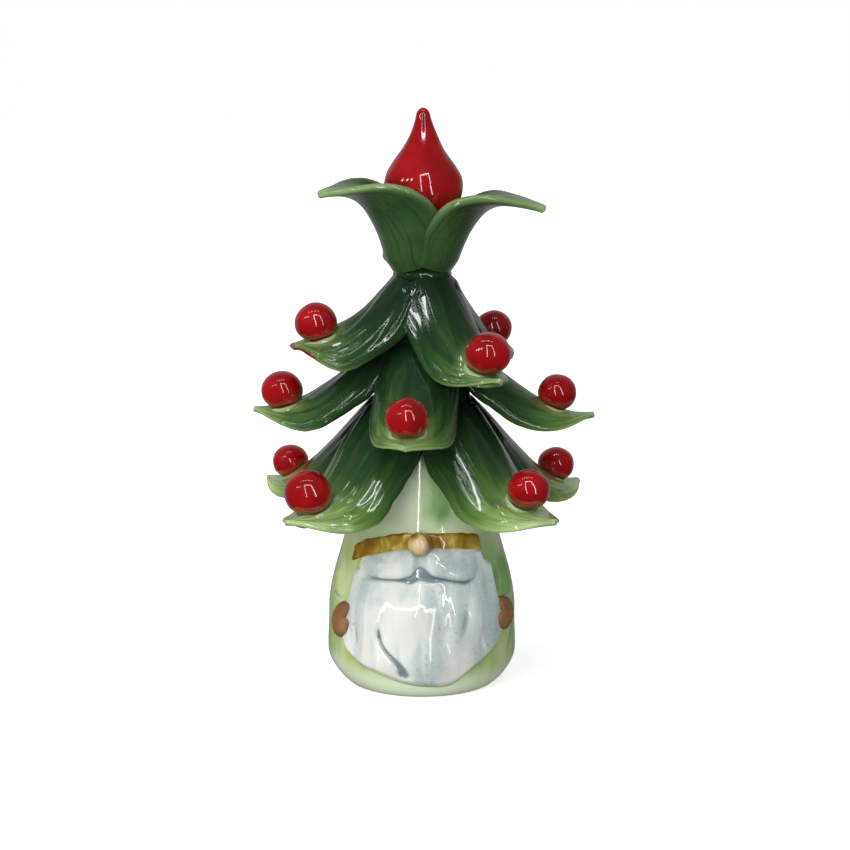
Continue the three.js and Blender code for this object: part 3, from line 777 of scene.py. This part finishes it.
PETAL_TIER = {
    "root": (11.5, 180), "slope": 66, "reach": 17, "opening": 3, "taper": 0.4, "root_width": 0.78,
    "flank_thinning": 0, "tip_thinning": 0.3, "tuck": 1.5,
    "leaves": {
        "right": {
            "azimuth": 74, "tip": (54.5, 207.5), "tip_slope": -19, "tip_reach": 36,
            "half_width": 21.5, "bend": -12.8,
        },
        "left": {
            "azimuth": -68, "tip": (47.3, 214), "tip_slope": -10, "tip_reach": 30,
            "half_width": 29, "bend": -11.6,
        },
        "back": {
            "azimuth": 180, "tip": (47, 211), "tip_slope": -12, "tip_reach": 25,
            "half_width": 20, "bend": -12,
        },
    },
}
PETAL_LUG = {"across": -0.22, "along": 0.13, "rise": 1.3}
PETAL_STOPS = [(0.0, "30502b"), (0.3, "3f6033"), (0.55, "2b4c2a"), (0.8, "3f6237"), (1.0, "86a165")]
petal_finish = leaf_recipe("petal_glaze", PETAL_STOPS, 0.84, 0.15, linear("8ba56c"), 0.2)
for petal_name, petal in PETAL_TIER["leaves"].items():
    seed += 1
    lug = PETAL_LUG if petal_name == "left" else None
    slab = strap_mesh(Strap(PETAL_TIER, petal, seed * SEED_STEP), 60, 60, 0.2, lug=lug)
    piece = make_object(
        f"crown_leaf_{petal_name}_glazed", slab, petal_finish, "leaf_glaze", f"crown_leaf_{petal_name}"
    )
    subdivision = piece.modifiers.new("rounding", "SUBSURF")
    subdivision.levels = subdivision.render_levels = 1


# --- Bud --------------------------------------------------------------------------------------------
# The finial is a pointed bud, rolled and pulled to a tip by hand, glazed red and stood in the crown.

BUD_FOOT, BUD_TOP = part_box("bud")[0].z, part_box("bud")[1].z
BUD = [(0, 0), (0.04, 7.4), (0.11, 11.6), (0.22, 14.6), (0.34, 16.4), (0.42, 16.9), (0.5, 16.1)]
BUD += [(0.58, 13.7), (0.7, 9.2), (0.82, 5.5), (0.92, 3.3), (0.97, 2.5), (1.0, 0)]
BUD_LEAN, BUD_DENT = 0.5 * MM, 1.1 * MM
bud_profile = [(0, BUD_FOOT)]
for share in spaced(0.02, 0.97, 60):
    bud_profile.append((eased(BUD, share) * MM, BUD_FOOT + share * (BUD_TOP - BUD_FOOT)))
bud_profile += [(1.6 * MM, BUD_FOOT + 0.989 * (BUD_TOP - BUD_FOOT)), (0, BUD_TOP)]
bud = turned(bud_profile, 96)
foot = bud.verts.layers.float.new("foot")
for vert in bud.verts:
    share = (vert.co.z - BUD_FOOT) / (BUD_TOP - BUD_FOOT)
    dent = BUD_DENT * noise.noise(vert.co * 70) * smooth(share, 0.1, 0.4) * (1 - smooth(share, 0.7, 1.0))
    vert.co += Vector((vert.co.x, vert.co.y, 0)).normalized() * dent
    vert.co.x += BUD_LEAN
    vert[foot] = 1 - smooth(share, 0.05, 0.3)
make_object("bud_glazed", bud, berry_finish, "berry_glaze", "bud")


# --- Beard and moustache ----------------------------------------------------------------------------
# The beard is a thin pad of clay modelled on the coat, combed downwards, with a puffed moustache above
# a smile-shaped groove. A white glaze covers it. Its creases and the groove get blue-grey painted shade.

PAD_SINK = 1.6 * MM


def pad_mesh(place, rise, across_count, up_count):
    """A pad modelled on the coat. place turns grid shares into an azimuth and a height. rise gives the
    pad's thickness there, how much painted shade the point gets, and how close to the pad's rim."""
    shape = bmesh.new()
    bmesh.ops.create_grid(shape, x_segments=across_count, y_segments=up_count, size=1)
    bmesh.ops.solidify(shape, geom=shape.faces[:], thickness=1.0)
    crease, rim = (shape.verts.layers.float.new(name) for name in ("crease", "rim"))
    for vert in shape.verts:
        x, y, outside = vert.co.x, vert.co.y, vert.co.z > -0.5
        azimuth, height = place(x, y)
        lift, depth, closeness = rise(x, y, azimuth, height)
        vert[crease] = min(1.0, max(0.0, depth))
        vert[rim] = closeness
        radius = coat_radius(azimuth, height) + (lift if outside else -PAD_SINK)
        vert.co = on_axis(azimuth, radius, height)
    return shape


def ridge(distance, width):
    """1 on a line, and falling smoothly to 0 on both sides."""
    return math.exp(-((distance / width) ** 2))


BEARD_LEFT, BEARD_RIGHT, BEARD_TOP = -57, 60, 62 * MM
BEARD_HEM = [(-57, 28), (-53, 19), (-41, 12.8), (-28, 9.5), (-10, 5.7), (6, 4.1), (18, 4.6), (31, 11)]
BEARD_HEM += [(52, 20), (60, 28)]
BEARD_RISE, BEARD_BELLY = 1.5 * MM, 1.9 * MM
CHEEK_SLIMMING, CHEEK_FROM, CHEEK_TO = 0.13, 27, 46
GROOVE = [(-56, 50), (-44, 52), (-20, 52), (-8, 53.5), (-1, 57.3), (7, 53.8), (16, 52.2), (28, 50.7)]
GROOVE += [(44, 52.6), (56, 54.5)]
CHIN_CUT = [(8, -8.5), (10.7, -10), (13.3, -11.2), (17.5, -15), (21.2, -20), (26, -24.5), (35, -26)]


def beard_place(x, y):
    u = math.sin(x * math.pi / 2)
    azimuth = BEARD_LEFT + (BEARD_RIGHT - BEARD_LEFT) * (u + 1) / 2
    hem = eased(BEARD_HEM, azimuth) * MM
    top = BEARD_TOP - 6.5 * MM * smooth(-azimuth, 30, 54) - 3.5 * MM * smooth(azimuth, 50, 60)
    height = hem + (top - hem) * (y + 1) / 2
    slimming = 1 - CHEEK_SLIMMING * smooth(height, CHEEK_FROM * MM, CHEEK_TO * MM)
    return azimuth * slimming, height


def beard_rise(x, y, azimuth, height):
    up = height / MM
    hem = eased(BEARD_HEM, azimuth / (1 - CHEEK_SLIMMING * smooth(up, CHEEK_FROM, CHEEK_TO)))
    cheek = (1 - y) * 18 + 9 * (1 - smooth(abs(azimuth), 40, 48))
    closeness = 1 - smooth(min((1 - abs(x)) * 34, up - hem, cheek), 0, 4.5)
    lock = noise.noise(Vector((azimuth * 0.045, up * 0.035, 7.0)))
    strand = noise.noise(Vector((azimuth * 0.13 + 0.5 * math.sin(up * 0.07), up * 0.03, 2.0)))
    fibre = noise.noise(Vector((azimuth * 0.5, up * 0.07, 4.0)))
    cut_place = eased(CHIN_CUT, max(8, min(35, up)))
    cut_width = 1.4 + 2.2 * (1 - smooth(up, 11, 24))
    cut = ridge(azimuth - cut_place, cut_width) * smooth(up, 8.5, 12) * (1 - smooth(up, 27, 35))
    right_cut = ridge(azimuth - 25.5 - 0.2 * (up - 33), 2.2) * ridge(up - 33.5, 6)
    left_cut = ridge(azimuth + 40.5 + 0.3 * (up - 26), 1.3) * ridge(up - 26.5, 5)
    middle_cut = ridge(azimuth - 14 - 2 * math.sin(up * 0.15), 3.4) * ridge(up - 25, 14)
    groove = eased(GROOVE, max(-56, min(56, azimuth)))
    lip = groove - 0.6 - 4.2 * ridge(azimuth + 1, 8)
    under = smooth(up, lip - 1.5, lip + 0.5) * (1 - smooth(abs(azimuth + 1), 28, 50))
    shadow = under * (1 - smooth(abs(azimuth + 1), 30, 44))
    lift = BEARD_RISE + (0.9 * lock + 0.35 * strand + 0.06 * fibre) * MM
    lift += BEARD_BELLY * smooth(up, lip + 1, lip - 13) * smooth(up, 3, 17) * ridge(azimuth, 38)
    lift -= (1.5 * cut + 0.5 * right_cut + 0.5 * left_cut + 0.5 * middle_cut) * MM
    lift = lift * (1 - under) + 0.1 * MM * under
    # The painted shade: dark in the cuts, darkest in the shadow under the moustache, lighter where strands
    # dip.
    shade_amount = 1.3 * cut + 0.5 * right_cut + 0.6 * left_cut + 0.3 * middle_cut
    shade_amount += (0.95 + 0.35 * ridge(azimuth + 1, 14)) * shadow
    shade_amount += 0.4 * max(0.0, -strand - 0.12)
    return lift * (1 - closeness) - 0.5 * MM * closeness**2, shade_amount * (1 - closeness), closeness


white = Recipe("beard_glaze", Roughness=0.14, IOR=1.5, Coat_Weight=1.0, Coat_Roughness=0.03)
warmth = white.grain(22, 2)
stains = white.grain(42, 4, (1, 1, 0.5), distortion=0.5)
strokes = white.grain(110, 3, (1, 1, 0.2), distortion=0.6)
specks = white.grain(620, 3)
side = white.node("ShaderNodeSeparateXYZ", None, {0: white.node("ShaderNodeTexCoord", output=3)}, output=0)
beard_color = white.mix(white.step(side, -0.02, 0.03), linear("e0e2da"), linear("d3dfdb"))
beard_color = white.mix(white.step(warmth, 0.47, 0.62) * 0.5, beard_color, linear("ddd3c8"))
beard_color = white.mix(white.step(stains, 0.42, 0.62) * 0.65, beard_color, linear("a3b4b5"))
beard_color = white.mix(white.step(strokes, 0.48, 0.66) * 0.55, beard_color, linear("a9bcc0"))
beard_color = white.mix(white.step(strokes, 0.46, 0.32) * 0.5, beard_color, linear("eaeeea"))
speckled = white.step(specks, 0.52, 0.74) * white.step(stains, 0.42, 0.62)
beard_color = white.mix(speckled * 0.4, beard_color, linear("74868a"))
# Blue-grey painted shade in the beard's creases, in the groove and under the moustache lobes.
shade_share = white.step(white.measure("crease") + (stains - 0.5) * 0.35, 0.15, 1.05)
beard_color = white.mix(shade_share * 0.9, beard_color, linear("5b7178"))
fade = white.step(white.measure("rim") + (stains - 0.5) * 0.5, 0.3, 0.78)
coat_tone = white.mix(white.step(side, -0.02, 0.03), linear("b4c38c"), linear("a2bb88"))
beard_color = white.mix(fade, beard_color, coat_tone)
beard_finish = white.finish(beard_color, 0.12, white.grain(75, 3, (1, 1, 0.35)), 0.35, 0.0006)

beard = pad_mesh(beard_place, beard_rise, 130, 110)
beard_piece = make_object("beard_glazed", beard, beard_finish, "beard_glaze", "beard")

# The window's bars are linked to the beard, so that no other piece mirrors or is lit by them.
window_side = bpy.data.collections.new("window_side")
window_side.objects.link(beard_piece)
for bar in window_frame:
    bar.light_linking.receiver_collection = window_side


MOUSTACHE_MIDDLE, MOUSTACHE_REACH = -1.0, 50


def moustache(side_sign):
    """One lobe, from under the nose to the cheek. Its lower edge overhangs the groove."""

    def place(x, y):
        share = (x * side_sign + 1) / 2
        azimuth = MOUSTACHE_MIDDLE + side_sign * MOUSTACHE_REACH * share
        lower = eased(GROOVE, azimuth) - 0.4
        upper = 65.5 - (2.2 if side_sign > 0 else 7.5) * share**1.6
        return azimuth, (lower + (upper - lower) * (y + 1) / 2) * MM

    def rise(x, y, azimuth, height):
        share = (x * side_sign + 1) / 2
        belly = math.sqrt(max(0.0, 1 - abs(y) ** 2.4))
        ends = smooth(share, 0.0, 0.12) * (1 - smooth(share, 0.45, 0.95))
        waves = noise.noise(Vector((azimuth * 0.06, height * 300, 5.0 + side_sign)))
        hairs = noise.noise(Vector((azimuth * 0.07, height * 900, 3.0)))
        lift = (2.4 + 1.0 * (1 - share)) * belly * (0.3 + 0.7 * ends) + (0.5 * waves + 0.15 * hairs) * belly
        low = 1 - smooth(y, -1.0, -0.55 - 0.2 * share)
        sunk = smooth(share, 0.8, 1.0)
        # Painted shade along the lobe's lower edge, where it overhangs the groove.
        shade_amount = 0.7 * low * (1 - smooth(share, 0.7, 0.95))
        return (lift * (1 - sunk) - 0.3 * sunk) * MM, shade_amount, 0

    return pad_mesh(place, rise, 70, 30)


make_object("moustache_left_glazed", moustache(-1), beard_finish, "beard_glaze", "moustache_left")
make_object("moustache_right_glazed", moustache(1), beard_finish, "beard_glaze", "moustache_right")


# --- Brim band and nose -----------------------------------------------------------------------------
# A flat strip of clay lies across the brow, with uneven cut edges, and the nose is a small ball pressed
# on its middle. Both have an ochre glaze that breaks to yellow on the high spots.

BAND_LEFT, BAND_RIGHT, BAND_MIDDLE = -58.5, 48.5, -2
BAND_HEIGHT, BAND_WIDTH, BAND_RISE = 67.6 * MM, 8.3 * MM, 1.2 * MM


def band_place(x, y):
    azimuth = BAND_LEFT + (BAND_RIGHT - BAND_LEFT) * (x + 1) / 2
    left = max(0, (BAND_MIDDLE - azimuth) / (BAND_MIDDLE - BAND_LEFT))
    right = max(0, (azimuth - BAND_MIDDLE) / (BAND_RIGHT - BAND_MIDDLE))
    centre = BAND_HEIGHT - 8 * MM * left**2 - 2.3 * MM * right**2
    uneven = 1 + 0.2 * noise.noise(Vector((azimuth * 0.12, math.copysign(2, y), 1.0)))
    uneven *= 1 - 0.1 * ridge(1 - abs(x), 0.04)
    return azimuth + 0.5 * noise.noise(Vector((y * 2, x, 3))), centre + y * uneven * BAND_WIDTH / 2


def band_rise(x, y, azimuth, height):
    edge = smooth(1 - abs(y), 0, 0.34) * smooth(1 - abs(x), 0, 0.06)
    lump = 0.3 * MM * noise.noise(Vector((azimuth * 0.1, height * 250, 8)))
    # The band's edges get painted shade where the strip dips to the coat.
    return BAND_RISE * edge - 0.3 * MM + lump * edge, 1 - edge, 0


ochre = Recipe("band_glaze", Roughness=0.14, IOR=1.5, Coat_Weight=1.0, Coat_Roughness=0.03)
brushed = ochre.grain(130, 4, (1, 1, 0.35), distortion=1.2)
washes = ochre.grain(130, 2)
ochre_color = ochre.ramp(brushed, (0.34, "7a560c"), (0.46, "99741d"), (0.56, "b39334"), (0.68, "d6c072"))
ochre_color = ochre.mix(ochre.step(washes, 0.5, 0.7) * 0.5, ochre_color, linear("9c8134"))
# Painted shade darkens the band's edges and the nose's rim.
ochre_color = ochre.mix(ochre.measure("crease") * 0.55, ochre_color, linear("74500a"))
# A painted highlight pales the front of the nose.
ochre_color = ochre.mix(ochre.measure("pale") * 0.9, ochre_color, linear("dcc9a0"))
band_finish = ochre.finish(ochre_color, 0.13, brushed, 0.35, 0.0005)
band = pad_mesh(band_place, band_rise, 120, 18)
make_object("hat_band_glazed", band, band_finish, "band_glaze", "hat_band")

NOSE_RADIUS, NOSE_OUT = 5.3 * MM, 36.0 * MM
nose = bmesh.new()
bmesh.ops.create_icosphere(nose, subdivisions=5, radius=NOSE_RADIUS)
nose_centre = on_axis(BAND_MIDDLE, NOSE_OUT, BAND_HEIGHT - 0.4 * MM)
front_highlight_mark, rim_shade_mark = (nose.verts.layers.float.new(name) for name in ("pale", "crease"))
# The nose's front is painted pale as a highlight, and its turned-away rim gets painted shade.
for vert in nose.verts:
    vert[front_highlight_mark] = smooth(-vert.co.y, 0.5 * NOSE_RADIUS, NOSE_RADIUS)
    vert[rim_shade_mark] = 1.6 * (1 - smooth(-vert.co.y, 0.1 * NOSE_RADIUS, 0.62 * NOSE_RADIUS))
    vert.co *= 1 + 0.06 * noise.noise(vert.co * 160)
    vert.co += nose_centre
make_object("nose_glazed", nose, band_finish, "band_glaze", "nose")


# --- Arms and mittens -------------------------------------------------------------------------------
# The sleeves are low ridges of clay down the sides of the coat, and the mittens are small pads with a
# thumb. Their brown is a matt underglaze without the clear coat.

MITTENS = {
    "left": {"azimuth": -55.8, "height": 31.4 * MM, "thumb": 1, "slant": -0.18, "half": 8.1 * MM},
    "right": {"azimuth": 59.3, "height": 33.6 * MM, "thumb": -1, "slant": -0.1, "half": 7.2 * MM},
}
MITTEN_TURN, MITTEN_RISE = 9.2, 3.0 * MM

brown = Recipe("mitten_glaze", Roughness=0.6, IOR=1.4)
brown_cloud = brown.grain(120, 4)
brown_color = brown.ramp(brown_cloud, (0.3, "724f33"), (0.55, "876341"), (0.75, "99754f"))
mitten_finish = brown.finish(brown_color, 0.55 + brown_cloud * 0.2, brown.grain(400, 3), 0.3, 0.0002)


def around(angle, centre, width):
    """1 in the direction of centre, falling to 0 away from it, in degrees."""
    return ridge((angle - centre + 180) % 360 - 180, width)


def mitten_mesh(mitten):
    shape = bmesh.new()
    bmesh.ops.create_icosphere(shape, subdivisions=6, radius=1)
    for vert in shape.verts:
        way = vert.co.normalized()
        angle = math.degrees(math.atan2(way.y, way.x * mitten["thumb"]))
        palm = 1 + 0.3 * around(angle, 52, 20) - 0.34 * around(angle, 20, 15)
        palm -= 0.12 * around(angle, 150, 40)
        palm += 0.05 * noise.noise(way * 2.4 + Vector((mitten["azimuth"], 0, 0)))
        up = way.y * palm
        azimuth = mitten["azimuth"] + MITTEN_TURN * (way.x * palm - mitten["slant"] * up)
        height = mitten["height"] + mitten["half"] * up
        bulge = math.copysign(1 - (1 - abs(way.z)) ** 2, way.z)
        radius = coat_radius(azimuth, height) + MITTEN_RISE * bulge + 0.3 * MM
        vert.co = on_axis(azimuth, radius, height)
    return shape


def sleeve_mesh(mitten):
    def place(x, y):
        share = (y + 1) / 2
        turn = 5 + 20 * share
        return mitten["azimuth"] - mitten["thumb"] * turn + 13 * x, (38.5 + 25 * share) * MM

    def rise(x, y, azimuth, height):
        share = (y + 1) / 2
        dome = smooth(1 - abs(x), 0, 0.95) * smooth(share, 0, 0.18) * (1 - smooth(share, 0.35, 1.0))
        fold = noise.noise(Vector((azimuth * 0.09, height * 130, 4)))
        return 1.7 * MM * dome * (1 + 0.3 * fold) - 0.35 * MM, 0, 1 - dome

    return pad_mesh(place, rise, 36, 44)


for side_name, mitten in MITTENS.items():
    pad, arm = mitten_mesh(mitten), sleeve_mesh(mitten)
    make_object(f"mitten_{side_name}_glazed", pad, mitten_finish, "mitten_glaze", f"mitten_{side_name}")
    make_object(f"sleeve_{side_name}_glazed", arm, coat_finish, "coat_glaze", f"sleeve_{side_name}")
